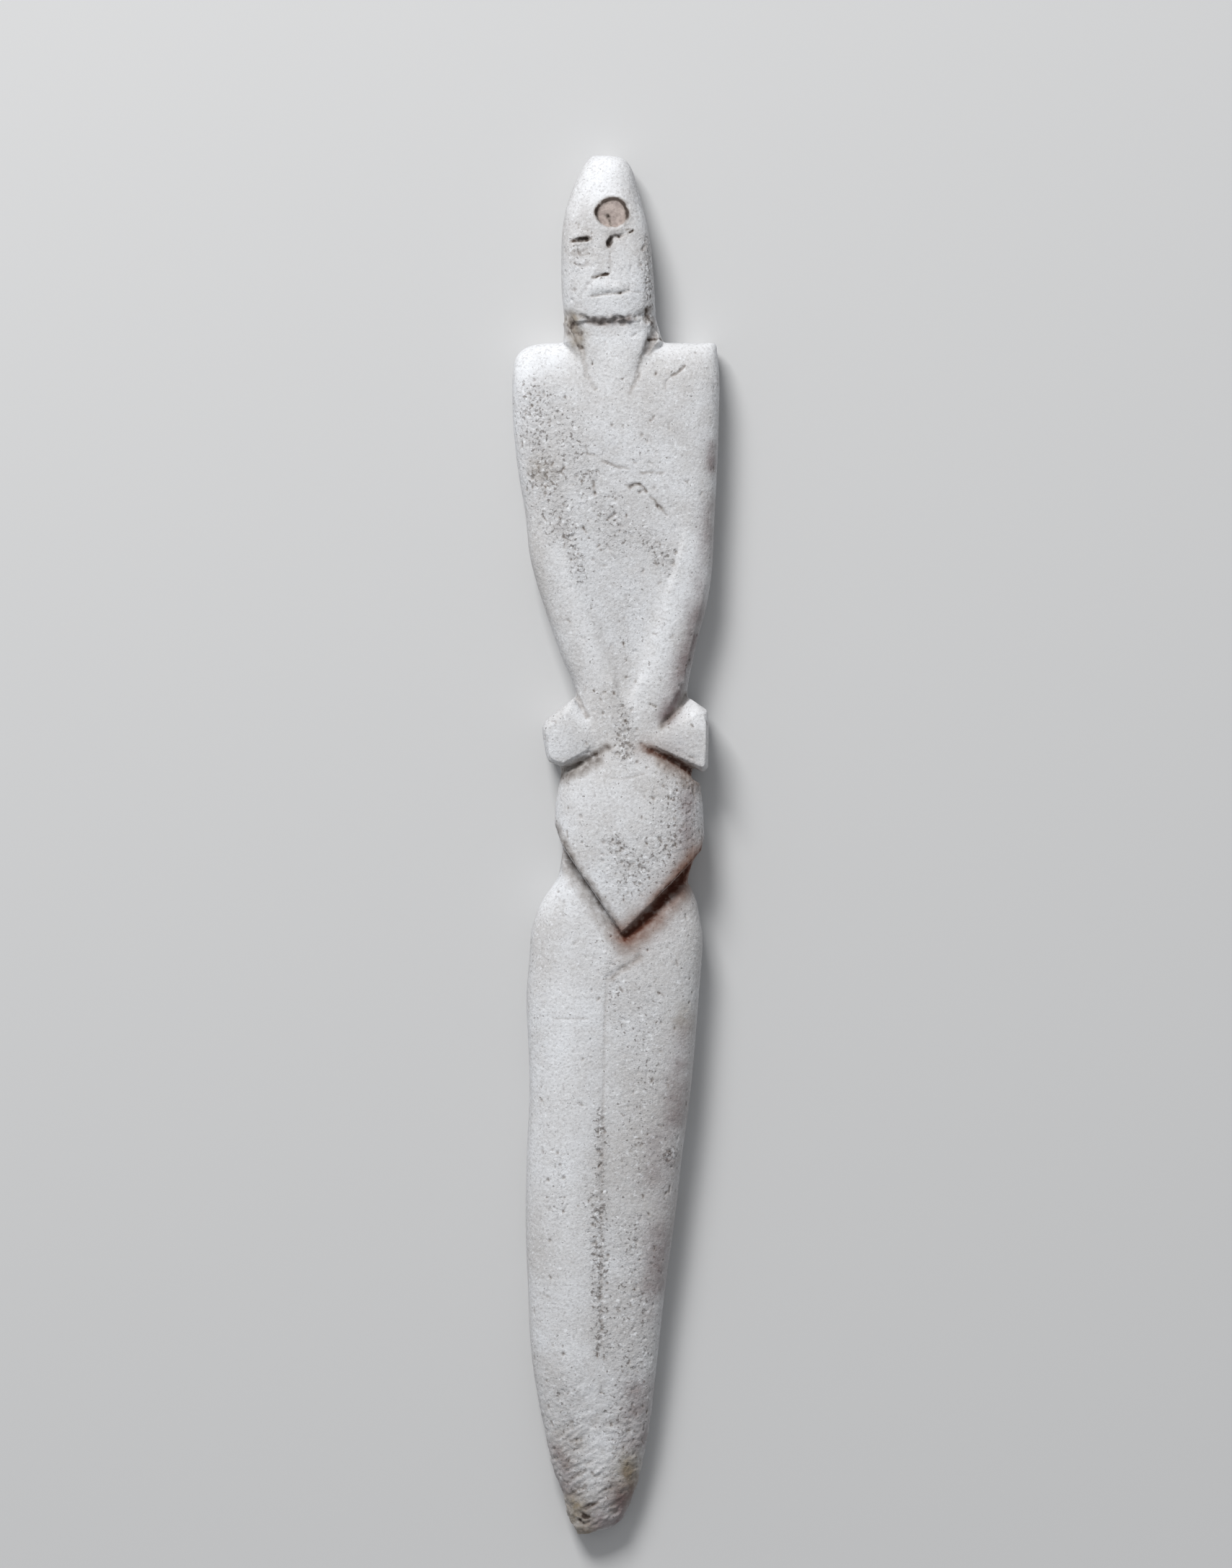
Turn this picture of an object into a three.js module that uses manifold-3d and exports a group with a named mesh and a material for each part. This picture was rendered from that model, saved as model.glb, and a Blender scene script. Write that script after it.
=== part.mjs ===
// A slender carved bone figurine, lying on its flat back.
// Millimetres. x runs across the figure, y towards its head, and z up from the ground back
// to the carved front.
// While the figure is being shaped, y is measured from the hip notches, above the thighs.

import * as THREE from "three";
import { ConvexGeometry } from "three/addons/geometries/ConvexGeometry.js";
import { mergeVertices } from "three/addons/utils/BufferGeometryUtils.js";
import Module from "manifold-3d";

const wasm = await Module();
wasm.setup();
const { Manifold, Mesh } = wasm;

// Lengths along the figure.
const legLength = 80;
const waistHeight = 21.8;
const torsoLength = 43.3;
const neckLength = 2.6;
const headLength = 20.25;

// Widths across the figure.
const thighWidth = 21.1;
const bellyWidth = 18.2;
const shoulderWidth = 25.3;
const headWidth = 11.1;

// Thicknesses, from the flat back to the highest point of the front.
const thighThickness = 8.8;
const bellyThickness = 9.4;
const waistThickness = 7.6;
const chestThickness = 8.2;
const neckThickness = 8;
const headThickness = 9;

// Carving.
const backRounding = 1.1;
const chestHollow = 0.75;
const bellyStep = 1;
const knobThickness = 8.2;
const knobLength = 8.4;
const noseLength = 4.2;
const noseWidth = 1.7;
const noseHeight = 0.28;
const eyeDepth = 0.5;
const mouthDepth = 0.35;
const chinDepth = 0.9;
const socketRadius = 1.85;
const socketDepth = 0.6;
const legLineDepth = 0.2;

// Fineness of the faceting.
const frontSteps = 20;
const backSteps = 3;
const longestStep = 3;
const circleSides = 28;

// How far each body runs on inside its neighbour.
const legOverlap = 4;
const torsoOverlap = 12;
const headOverlap = 1;
const neckOverlap = 12;

const shoulderLine = waistHeight + torsoLength;
const chinLine = shoulderLine + neckLength;

// A closed geometry as a solid that can be joined and cut.
function solidOf(geometry) {
  geometry.deleteAttribute("normal");
  geometry.deleteAttribute("uv");
  const merged = mergeVertices(geometry);
  return new Manifold(
    new Mesh({
      numProp: 3,
      vertProperties: merged.attributes.position.array,
      triVerts: new Uint32Array(merged.index.array),
    }),
  );
}

// The convex solid around a set of [x, y, z] corners.
function convexSolid(corners) {
  return solidOf(new ConvexGeometry(corners.map((corner) => new THREE.Vector3(...corner))));
}

// A smooth curve through a table's rows, without overshoot. Each row starts with its place along the curve.
function curveThrough(rows) {
  const places = rows.map((row) => row[0]);
  const last = rows.length - 1;
  const columns = rows[0].slice(1).map((_, column) => {
    const values = rows.map((row) => row[column + 1]);
    const rise = places.slice(1).map((place, i) => (values[i + 1] - values[i]) / (place - places[i]));
    const slopes = values.map((_, i) => {
      if (i === 0) return rise[0];
      if (i === last) return rise[last - 1];
      if (rise[i - 1] * rise[i] <= 0) return 0;
      return (2 * rise[i - 1] * rise[i]) / (rise[i - 1] + rise[i]);
    });
    return { values, slopes };
  });
  return (place) => {
    const at = Math.min(Math.max(place, places[0]), places[last]);
    let i = 0;
    while (i < last - 1 && at > places[i + 1]) i += 1;
    const span = places[i + 1] - places[i];
    const t = (at - places[i]) / span;
    return columns.map(({ values, slopes }) => {
      const start = values[i] * (1 + 2 * t) * (1 - t) ** 2;
      const end = values[i + 1] * (3 - 2 * t) * t ** 2;
      const bend = slopes[i] * t * (1 - t) ** 2 - slopes[i + 1] * t ** 2 * (1 - t);
      return start + end + bend * span;
    });
  };
}

// The places where a lofted body gets a section: every row of its table, and steps between rows
// that lie far apart.
function sectionPlaces(rows, length) {
  const places = [rows[0][0]];
  for (let i = 1; i < rows.length; i += 1) {
    const from = rows[i - 1][0];
    const to = rows[i][0];
    const steps = Math.max(1, Math.ceil(((to - from) * length) / longestStep));
    for (let step = 1; step <= steps; step += 1) places.push(from + ((to - from) * step) / steps);
  }
  return places;
}

// A body with a flat back and a domed front, lofted through a table whose rows are
// [place, left edge, right edge, thickness], as shares of the body's own length, width and thickness.
// Its flank is the share of the thickness at which it is widest, and its fullness runs from 2,
// a round front, to a squarer one.
function carvedBody({ start, length, width, thickness, flank, fullness, rows }) {
  const curve = curveThrough(rows);

  const sectionAt = (place) => {
    const [left, right, height] = curve(place);
    const top = height * thickness;
    return {
      centre: ((left + right) / 2) * width,
      half: ((right - left) / 2) * width,
      widest: top * flank,
      top,
    };
  };

  const ringAt = (place) => {
    const { centre, half, widest, top } = sectionAt(place);
    const rounding = Math.min(backRounding, half * 0.6);
    const points = [];
    for (let step = 0; step < backSteps; step += 1) {
      const angle = (step / backSteps) * (Math.PI / 2);
      points.push([centre - half + rounding * (1 - Math.sin(angle)), widest * (1 - Math.cos(angle))]);
    }
    for (let step = 0; step <= frontSteps; step += 1) {
      const angle = Math.PI * (1 - step / frontSteps);
      const across = Math.sign(Math.cos(angle)) * Math.abs(Math.cos(angle)) ** (2 / fullness);
      const up = Math.abs(Math.sin(angle)) ** (2 / fullness);
      points.push([centre + half * across, widest + (top - widest) * up]);
    }
    for (let step = backSteps - 1; step >= 0; step -= 1) {
      const angle = (step / backSteps) * (Math.PI / 2);
      points.push([centre + half - rounding * (1 - Math.sin(angle)), widest * (1 - Math.cos(angle))]);
    }
    const y = start + place * length;
    return points.map(([x, z]) => [x, y, z]);
  };

  const front = (x, y) => {
    const { centre, half, widest, top } = sectionAt((y - start) / length);
    const across = Math.min(Math.abs((x - centre) / half), 0.98);
    return widest + (top - widest) * (1 - across ** fullness) ** (1 / fullness);
  };

  const rings = sectionPlaces(rows, Math.abs(length)).map(ringAt);
  return { front, solid: loft(rings) };
}

// A closed solid through rings of equal point counts, with a flat cap at each end.
function loft(rings) {
  const count = rings[0].length;
  const vertices = rings.flat();
  const triangles = [];
  for (let ring = 0; ring < rings.length - 1; ring += 1) {
    for (let i = 0; i < count; i += 1) {
      const next = (i + 1) % count;
      const a = ring * count + i;
      const b = ring * count + next;
      const c = a + count;
      const d = b + count;
      triangles.push([a, b, d], [a, d, c]);
    }
  }
  for (const ring of [0, rings.length - 1]) {
    const sums = [0, 1, 2].map((axis) => rings[ring].reduce((sum, point) => sum + point[axis], 0));
    const middle = sums.map((sum) => sum / count);
    const centre = vertices.push(middle) - 1;
    for (let i = 0; i < count; i += 1) {
      const a = ring * count + i;
      const b = ring * count + ((i + 1) % count);
      triangles.push(ring === 0 ? [centre, b, a] : [centre, a, b]);
    }
  }
  const facesOut = signedVolume(vertices, triangles) > 0;
  const corners = triangles.flatMap(([a, b, c]) => (facesOut ? [a, b, c] : [a, c, b]));
  const geometry = new THREE.BufferGeometry();
  geometry.setAttribute("position", new THREE.Float32BufferAttribute(vertices.flat(), 3));
  geometry.setIndex(corners);
  return solidOf(geometry);
}

function signedVolume(vertices, triangles) {
  return triangles.reduce((sum, [a, b, c]) => {
    const [p, q, r] = [a, b, c].map((i) => new THREE.Vector3(...vertices[i]));
    return sum + p.dot(q.cross(r)) / 6;
  }, 0);
}

// A cutting tool swept through convex sections, each given by its corners.
function sweep(sections) {
  const pieces = sections.slice(1).map((section, i) => convexSolid([...sections[i], ...section]));
  return Manifold.union(pieces);
}

// A V-shaped groove along a path of [x, y, depth], cut into the surface whose height `front` gives.
// Seen along the path, each wall runs out by that many millimetres for each millimetre of depth.
function groove(path, front, { leftRun, rightRun, clearance = 0.6 }) {
  return sweep(
    path.map(([x, y, depth], i) => {
      const before = path[Math.max(i - 1, 0)];
      const after = path[Math.min(i + 1, path.length - 1)];
      const along = new THREE.Vector2(after[0] - before[0], after[1] - before[1]).normalize();
      const top = front(x, y) + clearance;
      const left = leftRun * (depth + clearance);
      const right = rightRun * (depth + clearance);
      return [
        [x, y, front(x, y) - depth],
        [x - along.y * left, y + along.x * left, top],
        [x + along.y * right, y - along.x * right, top],
      ];
    }),
  );
}

// A flat-bottomed hollow along y, through rows of [y, left edge, right edge, depth], with walls
// that lean outwards.
function hollow(rows, front, wallRun) {
  const above = 1.5;
  return sweep(
    rows.map(([y, left, right, depth]) => {
      const surface = front((left + right) / 2, y);
      const lean = wallRun * (depth + above);
      const inset = Math.min(wallRun * depth, (right - left) * 0.45);
      return [
        [left + inset, y, surface - depth],
        [right - inset, y, surface - depth],
        [left + inset - lean, y, surface + above],
        [right - inset + lean, y, surface + above],
      ];
    }),
  );
}

// A faceted lump over an outline of [x, y] corners: a narrower foot, and a top face that leans
// over by `shift`.
function lump(corners, { thickness, bevel, inset, shift }) {
  const sums = [0, 1].map((axis) => corners.reduce((sum, corner) => sum + corner[axis], 0));
  const middle = sums.map((sum) => sum / corners.length);
  const layer = (share, z, [dx, dy] = [0, 0]) =>
    corners.map(([x, y]) => [
      middle[0] + (x - middle[0]) * share + dx,
      middle[1] + (y - middle[1]) * share + dy,
      z,
    ]);
  return convexSolid([
    ...layer(0.85, 0),
    ...layer(1, thickness * 0.25),
    ...layer(1, thickness - bevel),
    ...layer(1 - inset, thickness, shift),
  ]);
}

// Legs: one flat blade from under the belly to the broken foot.
const legs = carvedBody({
  start: legOverlap,
  length: -(legLength + legOverlap),
  width: thighWidth,
  thickness: thighThickness,
  flank: 0.45,
  fullness: 2.9,
  rows: [
    [0, -0.305, 0.46, 0.85],
    [0.025, -0.318, 0.445, 0.86],
    [0.048, -0.333, 0.415, 0.87],
    [0.056, -0.354, 0.414, 0.88],
    [0.064, -0.383, 0.437, 0.89],
    [0.081, -0.433, 0.466, 0.91],
    [0.114, -0.483, 0.491, 0.95],
    [0.131, -0.496, 0.504, 0.965],
    [0.156, -0.5, 0.5, 0.98],
    [0.219, -0.521, 0.479, 1],
    [0.345, -0.5, 0.437, 0.99],
    [0.47, -0.521, 0.375, 0.95],
    [0.533, -0.525, 0.346, 0.92],
    [0.658, -0.508, 0.279, 0.86],
    [0.721, -0.496, 0.25, 0.82],
    [0.784, -0.466, 0.225, 0.77],
    [0.847, -0.416, 0.192, 0.7],
    [0.909, -0.362, 0.142, 0.63],
    [0.928, -0.329, 0.125, 0.6],
    [0.941, -0.304, 0.1, 0.58],
    [0.966, -0.289, 0.07, 0.53],
    [0.979, -0.269, 0.042, 0.5],
    [0.986, -0.258, 0.017, 0.48],
    [0.992, -0.244, -0.035, 0.46],
    [0.998, -0.23, -0.11, 0.43],
    [1, -0.222, -0.15, 0.4],
  ],
});

// Torso: a flat plate from the shoulders down to the wrists, which goes on under the belly.
const torso = carvedBody({
  start: shoulderLine,
  length: -(torsoLength + torsoOverlap),
  width: shoulderWidth,
  thickness: chestThickness,
  flank: 0.5,
  fullness: 3.6,
  rows: [
    [0, -0.36, 0.475, 0.62],
    [0.008, -0.436, 0.487, 0.72],
    [0.02, -0.469, 0.491, 0.8],
    [0.033, -0.49, 0.493, 0.86],
    [0.072, -0.5, 0.5, 0.94],
    [0.135, -0.5, 0.497, 0.98],
    [0.262, -0.479, 0.49, 1],
    [0.389, -0.434, 0.476, 1],
    [0.452, -0.424, 0.472, 1],
    [0.516, -0.392, 0.462, 0.99],
    [0.58, -0.347, 0.438, 0.97],
    [0.643, -0.302, 0.399, 0.96],
    [0.707, -0.25, 0.368, 0.95],
    [0.77, -0.191, 0.344, 0.95],
    [0.8, -0.2, 0.35, 0.95],
    [0.84, -0.27, 0.4, 0.95],
    [0.92, -0.27, 0.39, 0.94],
    [0.955, -0.26, 0.355, 0.92],
    [1, -0.25, 0.34, 0.9],
  ],
});

// Head: a tall rounded finger that ends in a low chin.
const head = carvedBody({
  start: chinLine,
  length: headLength,
  width: headWidth,
  thickness: headThickness,
  flank: 0.5,
  fullness: 3,
  rows: [
    [0, -0.56, 0.42, 0.93],
    [0.03, -0.57, 0.43, 0.955],
    [0.198, -0.602, 0.42, 1],
    [0.406, -0.602, 0.396, 0.98],
    [0.545, -0.594, 0.364, 0.93],
    [0.684, -0.554, 0.301, 0.86],
    [0.822, -0.467, 0.23, 0.76],
    [0.892, -0.404, 0.198, 0.7],
    [0.918, -0.388, 0.176, 0.66],
    [0.944, -0.358, 0.154, 0.62],
    [0.97, -0.32, 0.13, 0.56],
    [0.985, -0.285, 0.085, 0.51],
    [1, -0.245, 0.005, 0.42],
  ],
});

// Neck: as wide as the jaw, and set back a little under its middle.
const neck = carvedBody({
  start: chinLine + headOverlap,
  length: -(headOverlap + neckLength + neckOverlap),
  width: headWidth,
  thickness: neckThickness,
  flank: 0.5,
  fullness: 3.8,
  rows: [
    [0, -0.555, 0.42, 0.98],
    [0.08, -0.57, 0.45, 0.98],
    [0.17, -0.575, 0.49, 0.98],
    [0.23, -0.585, 0.52, 0.98],
    [0.3, -0.52, 0.44, 0.985],
    [0.45, -0.4, 0.3, 1],
    [1, -0.2, 0.12, 1],
  ],
});

// Belly: a domed shield whose lower edge is a sharp V.
const bellyTop = 17.6;
const bellyTip = -6.8;
const belly = carvedBody({
  start: bellyTop,
  length: bellyTip - 1 - bellyTop,
  width: bellyWidth,
  thickness: bellyThickness,
  flank: 0.5,
  fullness: 2.6,
  rows: [
    [0, -0.24, 0.42, 0.79],
    [0.043, -0.28, 0.46, 0.835],
    [0.1, -0.33, 0.51, 0.88],
    [0.181, -0.36, 0.54, 0.925],
    [0.26, -0.387, 0.565, 0.957],
    [0.339, -0.41, 0.584, 0.98],
    [0.457, -0.41, 0.589, 1],
    [0.732, -0.42, 0.6, 0.98],
    [1, -0.42, 0.6, 0.93],
  ],
});
const bellyAcross = (share) => share * bellyWidth;
const tip = [bellyAcross(0.039), bellyTip];
const bellyLeftEdge = [
  [bellyAcross(-0.409), 6.3],
  [bellyAcross(-0.363), 3.95],
];
const bellyRightEdge = [
  [bellyAcross(0.59), 5.1],
  [bellyAcross(0.57), 3.3],
  [bellyAcross(0.487), 1.55],
];
const bellyOutline = [
  tip,
  ...[...bellyRightEdge].reverse(),
  [bellyAcross(0.64), 6],
  [bellyAcross(0.64), 10.6],
  [bellyAcross(0.565), 11.4],
  [bellyAcross(0.505), 12],
  [bellyAcross(0.505), bellyTop + 1],
  [bellyAcross(-0.5), bellyTop + 1],
  [bellyAcross(-0.5), 8],
  ...bellyLeftEdge,
];
const bellyCutter = new THREE.ExtrudeGeometry(
  new THREE.Shape(bellyOutline.map((corner) => new THREE.Vector2(...corner))),
  { depth: bellyThickness + 2, bevelEnabled: false },
);
const shield = belly.solid.intersect(solidOf(bellyCutter.translate(0, 0, -1)));

// Knobs at the waist, one on each side.
const knobMiddle = waistHeight - 4.3;
const knobOutline = (corners) => corners.map(([x, y]) => [x * shoulderWidth, knobMiddle + y * knobLength]);
const leftKnob = lump(
  knobOutline([
    [-0.202, 0.51],
    [-0.26, 0.34],
    [-0.309, 0.26],
    [-0.347, 0.176],
    [-0.358, 0.09],
    [-0.344, -0.16],
    [-0.337, -0.326],
    [-0.319, -0.41],
    [-0.257, -0.473],
    [-0.125, -0.253],
    [-0.094, -0.18],
    [-0.111, 0.124],
    [-0.16, 0.333],
  ]),
  { thickness: knobThickness, bevel: 1.1, inset: 0.17, shift: [0, -0.45] },
);
const rightKnob = lump(
  knobOutline([
    [0.358, 0.51],
    [0.385, 0.417],
    [0.437, 0.345],
    [0.448, 0.176],
    [0.441, -0.494],
    [0.42, -0.557],
    [0.178, -0.243],
    [0.135, -0.14],
    [0.309, 0.28],
    [0.351, 0.49],
  ]),
  { thickness: knobThickness, bevel: 1.3, inset: 0.17, shift: [0.25, -0.5] },
);

// The sunken chest panel narrows down between the forearms.
const chestPanel = hollow(
  [
    [waistHeight + 32, -0.37 * shoulderWidth, 0.41 * shoulderWidth, 0.02],
    [waistHeight + 24, -0.33 * shoulderWidth, 0.375 * shoulderWidth, 0.3 * chestHollow],
    [waistHeight + 15, -0.19 * shoulderWidth, 0.29 * shoulderWidth, 0.85 * chestHollow],
    [waistHeight + 8, -0.095 * shoulderWidth, 0.19 * shoulderWidth, chestHollow],
    [waistHeight + 2, -0.01 * shoulderWidth, 0.115 * shoulderWidth, 0.8 * chestHollow],
    [waistHeight - 2, 0.03 * shoulderWidth, 0.06 * shoulderWidth, 0.3 * chestHollow],
  ],
  torso.front,
  0.7,
);

// The right forearm's outer flank is bevelled down to the edge.
const rightFlank = groove(
  [
    [0.475 * shoulderWidth, waistHeight + 16, 0.1],
    [0.445 * shoulderWidth, waistHeight + 11, 0.8],
    [0.4 * shoulderWidth, waistHeight + 6, 1.6],
    [0.35 * shoulderWidth, waistHeight + 1, 2.2],
    [0.31 * shoulderWidth, waistHeight - 2.5, 1.6],
  ],
  torso.front,
  { leftRun: 3, rightRun: 0.75 },
);

// Grooves that part the neck from the shoulders, deepest where they start under the jaw.
const neckGrooves = [
  groove(
    [
      [-0.52 * headWidth, chinLine + 0.2, 1.9],
      [-0.45 * headWidth, chinLine - 0.9, 1.5],
      [-0.396 * headWidth, chinLine - 2.8, 1.1],
      [-0.34 * headWidth, chinLine - 5, 0.8],
      [-0.245 * headWidth, chinLine - 8, 0.35],
      [-0.22 * headWidth, chinLine - 9.4, 0.03],
    ],
    () => neckThickness,
    { leftRun: 1.1, rightRun: 0.8 },
  ),
  groove(
    [
      [0.46 * headWidth, chinLine - 1, 2.2],
      [0.404 * headWidth, chinLine - 2.15, 1.6],
      [0.316 * headWidth, chinLine - 4.35, 1],
      [0.238 * headWidth, chinLine - 7.1, 0.5],
      [0.182 * headWidth, chinLine - 8.6, 0.25],
      [0.16 * headWidth, chinLine - 9.8, 0.03],
    ],
    () => neckThickness,
    { leftRun: 1, rightRun: 0.9 },
  ),
];

// Deep notches under the knobs, steep on the knobs' side and sloping on the belly's.
const knobGrooves = [
  groove(
    [
      [-0.36 * shoulderWidth, knobMiddle - 0.5 * knobLength, 3.6],
      [-0.309 * shoulderWidth, knobMiddle - 0.514 * knobLength, 3],
      [-0.25 * shoulderWidth, knobMiddle - 0.53 * knobLength, 2.4],
      [-0.156 * shoulderWidth, knobMiddle - 0.42 * knobLength, 1.7],
      [-0.066 * shoulderWidth, knobMiddle - 0.253 * knobLength, 0.8],
      [-0.01 * shoulderWidth, knobMiddle - 0.12 * knobLength, 0.05],
    ],
    () => knobThickness,
    { leftRun: 0.32, rightRun: 0.5 },
  ),
  groove(
    [
      [0.45 * shoulderWidth, knobMiddle - 0.7 * knobLength, 3.8],
      [0.411 * shoulderWidth, knobMiddle - 0.63 * knobLength, 3],
      [0.347 * shoulderWidth, knobMiddle - 0.51 * knobLength, 2.4],
      [0.257 * shoulderWidth, knobMiddle - 0.36 * knobLength, 1.8],
      [0.15 * shoulderWidth, knobMiddle - 0.2 * knobLength, 0.9],
      [0.1 * shoulderWidth, knobMiddle - 0.1 * knobLength, 0.05],
    ],
    () => knobThickness,
    { leftRun: 0.5, rightRun: 0.32 },
  ),
];

// Creases between the knobs and the forearms.
const knobCreases = [
  groove(
    [
      [-0.2 * shoulderWidth, knobMiddle + 0.6 * knobLength, 2],
      [-0.187 * shoulderWidth, knobMiddle + 0.55 * knobLength, 1.6],
      [-0.16 * shoulderWidth, knobMiddle + 0.33 * knobLength, 1],
      [-0.125 * shoulderWidth, knobMiddle + 0.16 * knobLength, 0.5],
      [-0.1 * shoulderWidth, knobMiddle - 0.05 * knobLength, 0.05],
    ],
    () => waistThickness,
    { leftRun: 0.8, rightRun: 0.8 },
  ),
  groove(
    [
      [0.36 * shoulderWidth, knobMiddle + 0.68 * knobLength, 3],
      [0.348 * shoulderWidth, knobMiddle + 0.57 * knobLength, 2.4],
      [0.302 * shoulderWidth, knobMiddle + 0.345 * knobLength, 1.6],
      [0.241 * shoulderWidth, knobMiddle + 0.19 * knobLength, 0.8],
      [0.2 * shoulderWidth, knobMiddle + 0.05 * knobLength, 0.05],
    ],
    () => waistThickness,
    { leftRun: 0.8, rightRun: 0.7 },
  ),
];

// The thighs slope down to the belly's V, steeply on the left and in a wide trough on the right.
const between = (from, to, share) => from.map((value, axis) => value + (to[axis] - value) * share);
const bellyGrooves = [
  groove(
    [
      [bellyLeftEdge[0][0] - 0.6, bellyLeftEdge[0][1] + 1, bellyStep],
      [...bellyLeftEdge[1], bellyStep],
      [...between(bellyLeftEdge[1], tip, 0.5), bellyStep],
      [...tip, 0.7 * bellyStep],
    ],
    legs.front,
    { leftRun: 0.2, rightRun: 1.7 },
  ),
  groove(
    [
      [bellyRightEdge[0][0] + 0.6, bellyRightEdge[0][1] + 1, bellyStep],
      [...bellyRightEdge[2], bellyStep],
      [...between(bellyRightEdge[2], tip, 0.5), 1.2 * bellyStep],
      [...tip, 1.1 * bellyStep],
      [tip[0] - 0.8, tip[1] - 0.8, 0.1],
    ],
    legs.front,
    { leftRun: 1.8, rightRun: 0.2 },
  ),
];

// The line between the legs, and the short slanting line at its head.
const crotchX = -0.055 * thighWidth;
const crotchY = -12.1;
const legLine = groove(
  [
    [crotchX, crotchY + 0.6, 0.05],
    [crotchX - 0.1, crotchY - 2, 0.5 * legLineDepth],
    [crotchX - 0.2, -0.4 * legLength, 0.7 * legLineDepth],
    [crotchX - 0.4, -0.55 * legLength, legLineDepth],
    [crotchX - 0.6, -0.68 * legLength, legLineDepth],
    [crotchX - 0.7, -0.74 * legLength, 0.05],
  ],
  legs.front,
  { leftRun: 2.2, rightRun: 2.2, clearance: 0.2 },
);
const crotchLine = groove(
  [
    [crotchX + 3.8, crotchY + 2.6, 0.05],
    [crotchX + 2, crotchY + 1.2, 0.16],
    [crotchX, crotchY, 0.2],
    [crotchX - 0.6, crotchY - 0.3, 0.05],
  ],
  legs.front,
  { leftRun: 1.2, rightRun: 1.2 },
);

// The face, a few schematic cuts: eye slits, the sides and foot of a long nose, a raised lip
// and a mouth line.
const eyeLine = chinLine + 0.49 * headLength;
const noseBase = eyeLine - noseLength;
const mouthLine = noseBase - 0.118 * headLength;
const faceMiddle = -0.165 * headWidth;
const noseLeft = faceMiddle - noseWidth / 2;
const noseRight = faceMiddle + noseWidth / 2;
const faceCuts = [
  groove(
    [
      [faceMiddle - 3.5, eyeLine - 0.15, 0.12],
      [faceMiddle - 3, eyeLine, eyeDepth],
      [faceMiddle - 1.8, eyeLine + 0.1, eyeDepth],
      [faceMiddle - 1.3, eyeLine + 0.1, 0.05],
    ],
    head.front,
    { leftRun: 0.3, rightRun: 0.8 },
  ),
  groove(
    [
      [noseRight, eyeLine - 0.6, 0.5 * eyeDepth],
      [noseRight + 0.2, eyeLine, 1.4 * eyeDepth],
      [noseRight + 1.3, eyeLine + 0.45, eyeDepth],
      [noseRight + 2.9, eyeLine + 1.1, 0.05],
    ],
    head.front,
    { leftRun: 0.4, rightRun: 0.9 },
  ),
  groove(
    [
      [noseRight, eyeLine - 0.2, 0.9 * noseHeight],
      [noseRight + 0.15, noseBase + 0.6, 0.7 * noseHeight],
      [noseRight + 0.3, noseBase - 0.3, 0.1],
    ],
    head.front,
    { leftRun: 5, rightRun: 0.25 },
  ),
  groove(
    [
      [noseLeft, eyeLine - 0.3, 0.5 * noseHeight],
      [noseLeft - 0.15, noseBase + 0.6, 0.5 * noseHeight],
      [noseLeft - 0.3, noseBase - 0.3, 0.1],
    ],
    head.front,
    { leftRun: 0.6, rightRun: 4.5 },
  ),
  groove(
    [
      [noseLeft - 0.35, noseBase - 0.15, 0.15],
      [noseLeft + 0.1, noseBase - 0.05, 0.8 * mouthDepth],
      [noseRight + 0.1, noseBase + 0.1, mouthDepth],
      [noseRight + 0.5, noseBase + 0.15, 0.05],
    ],
    head.front,
    { leftRun: 0.3, rightRun: 1 },
  ),
  groove(
    [
      [noseLeft - 0.1, noseBase - 0.5, 0.03],
      [noseLeft - 0.5, (noseBase + mouthLine) / 2, 0.13],
      [noseLeft - 1.1, mouthLine + 0.1, 0.17],
      [noseLeft - 1.5, mouthLine - 0.5, 0.03],
    ],
    head.front,
    { leftRun: 0.5, rightRun: 2.6 },
  ),
  groove(
    [
      [noseRight + 0.9, noseBase - 0.7, 0.05],
      [noseRight + 1.7, (noseBase + mouthLine) / 2, 0.12],
      [noseRight + 2.1, mouthLine + 0.3, 0.15],
    ],
    head.front,
    { leftRun: 2.6, rightRun: 0.5 },
  ),
  groove(
    [
      [noseLeft - 1.3, mouthLine - 0.1, 0.05],
      [noseLeft - 0.3, mouthLine, 0.7 * mouthDepth],
      [noseRight, mouthLine + 0.15, mouthDepth],
      [noseRight + 2, mouthLine + 0.3, 0.7 * mouthDepth],
      [noseRight + 3, mouthLine + 0.35, 0.05],
    ],
    head.front,
    { leftRun: 0.5, rightRun: 0.7 },
  ),
];

// The chin is undercut along a shallow arc.
const chinCut = groove(
  [
    [-0.404 * headWidth, chinLine + 0.58, 0.1 * chinDepth],
    [-0.333 * headWidth, chinLine + 0.41, 0.45 * chinDepth],
    [-0.253 * headWidth, chinLine + 0.1, 0.8 * chinDepth],
    [-0.166 * headWidth, chinLine - 0.15, chinDepth],
    [-0.071 * headWidth, chinLine - 0.05, 0.95 * chinDepth],
    [0.016 * headWidth, chinLine + 0.35, 0.65 * chinDepth],
    [0.111 * headWidth, chinLine + 0.35, 0.45 * chinDepth],
    [0.174 * headWidth, chinLine + 0.58, 0.05 * chinDepth],
  ],
  head.front,
  { leftRun: 0.3, rightRun: 0.9 },
);

// The drilled socket in the forehead.
const socketX = faceMiddle + 1.3;
const socketY = chinLine + 0.64 * headLength;
const drillReach = 4;
const drillMiddle = head.front(socketX, socketY) - socketDepth + drillReach / 2;
const drill = new THREE.CylinderGeometry(socketRadius * 1.06, socketRadius, drillReach, circleSides);
const socket = solidOf(drill.rotateX(Math.PI / 2).translate(socketX, socketY, drillMiddle));

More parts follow.
